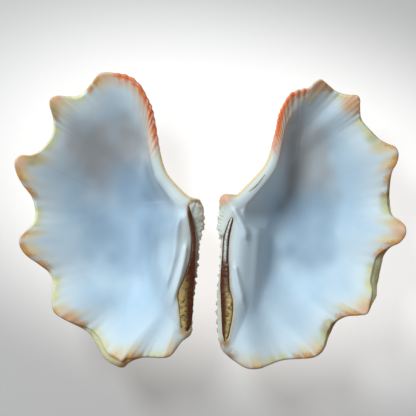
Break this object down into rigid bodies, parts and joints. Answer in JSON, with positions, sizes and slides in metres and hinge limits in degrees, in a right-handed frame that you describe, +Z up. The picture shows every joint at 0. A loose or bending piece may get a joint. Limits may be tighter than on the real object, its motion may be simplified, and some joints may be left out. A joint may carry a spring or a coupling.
{
  "type": "giant clam shell",
  "caption": "Opened giant clam shell: both scalloped valves lie on their bellies, white insides up, hinge edges facing, with the torn dark ligament left in each hinge.",
  "frame": {"origin": "middle of the two valves' footprint, on the surface they lie on", "axes": "+X from the left valve to the right one, +Y along the hinges towards the byssal side, +Z up out of the hollow insides"},
  "size_m": [0.2642, 0.2014, 0.0556],
  "materials": {
    "shell": "smooth porcelain inside, matt ribbed outside",
    "ligament": "dried, dark brown, half glossy"
  },
  "bodies": {
    "root": {"left_valve": "shell", "right_valve": "shell", "left_ligament": "ligament", "right_ligament": "ligament"}
  },
  "joints": []
}
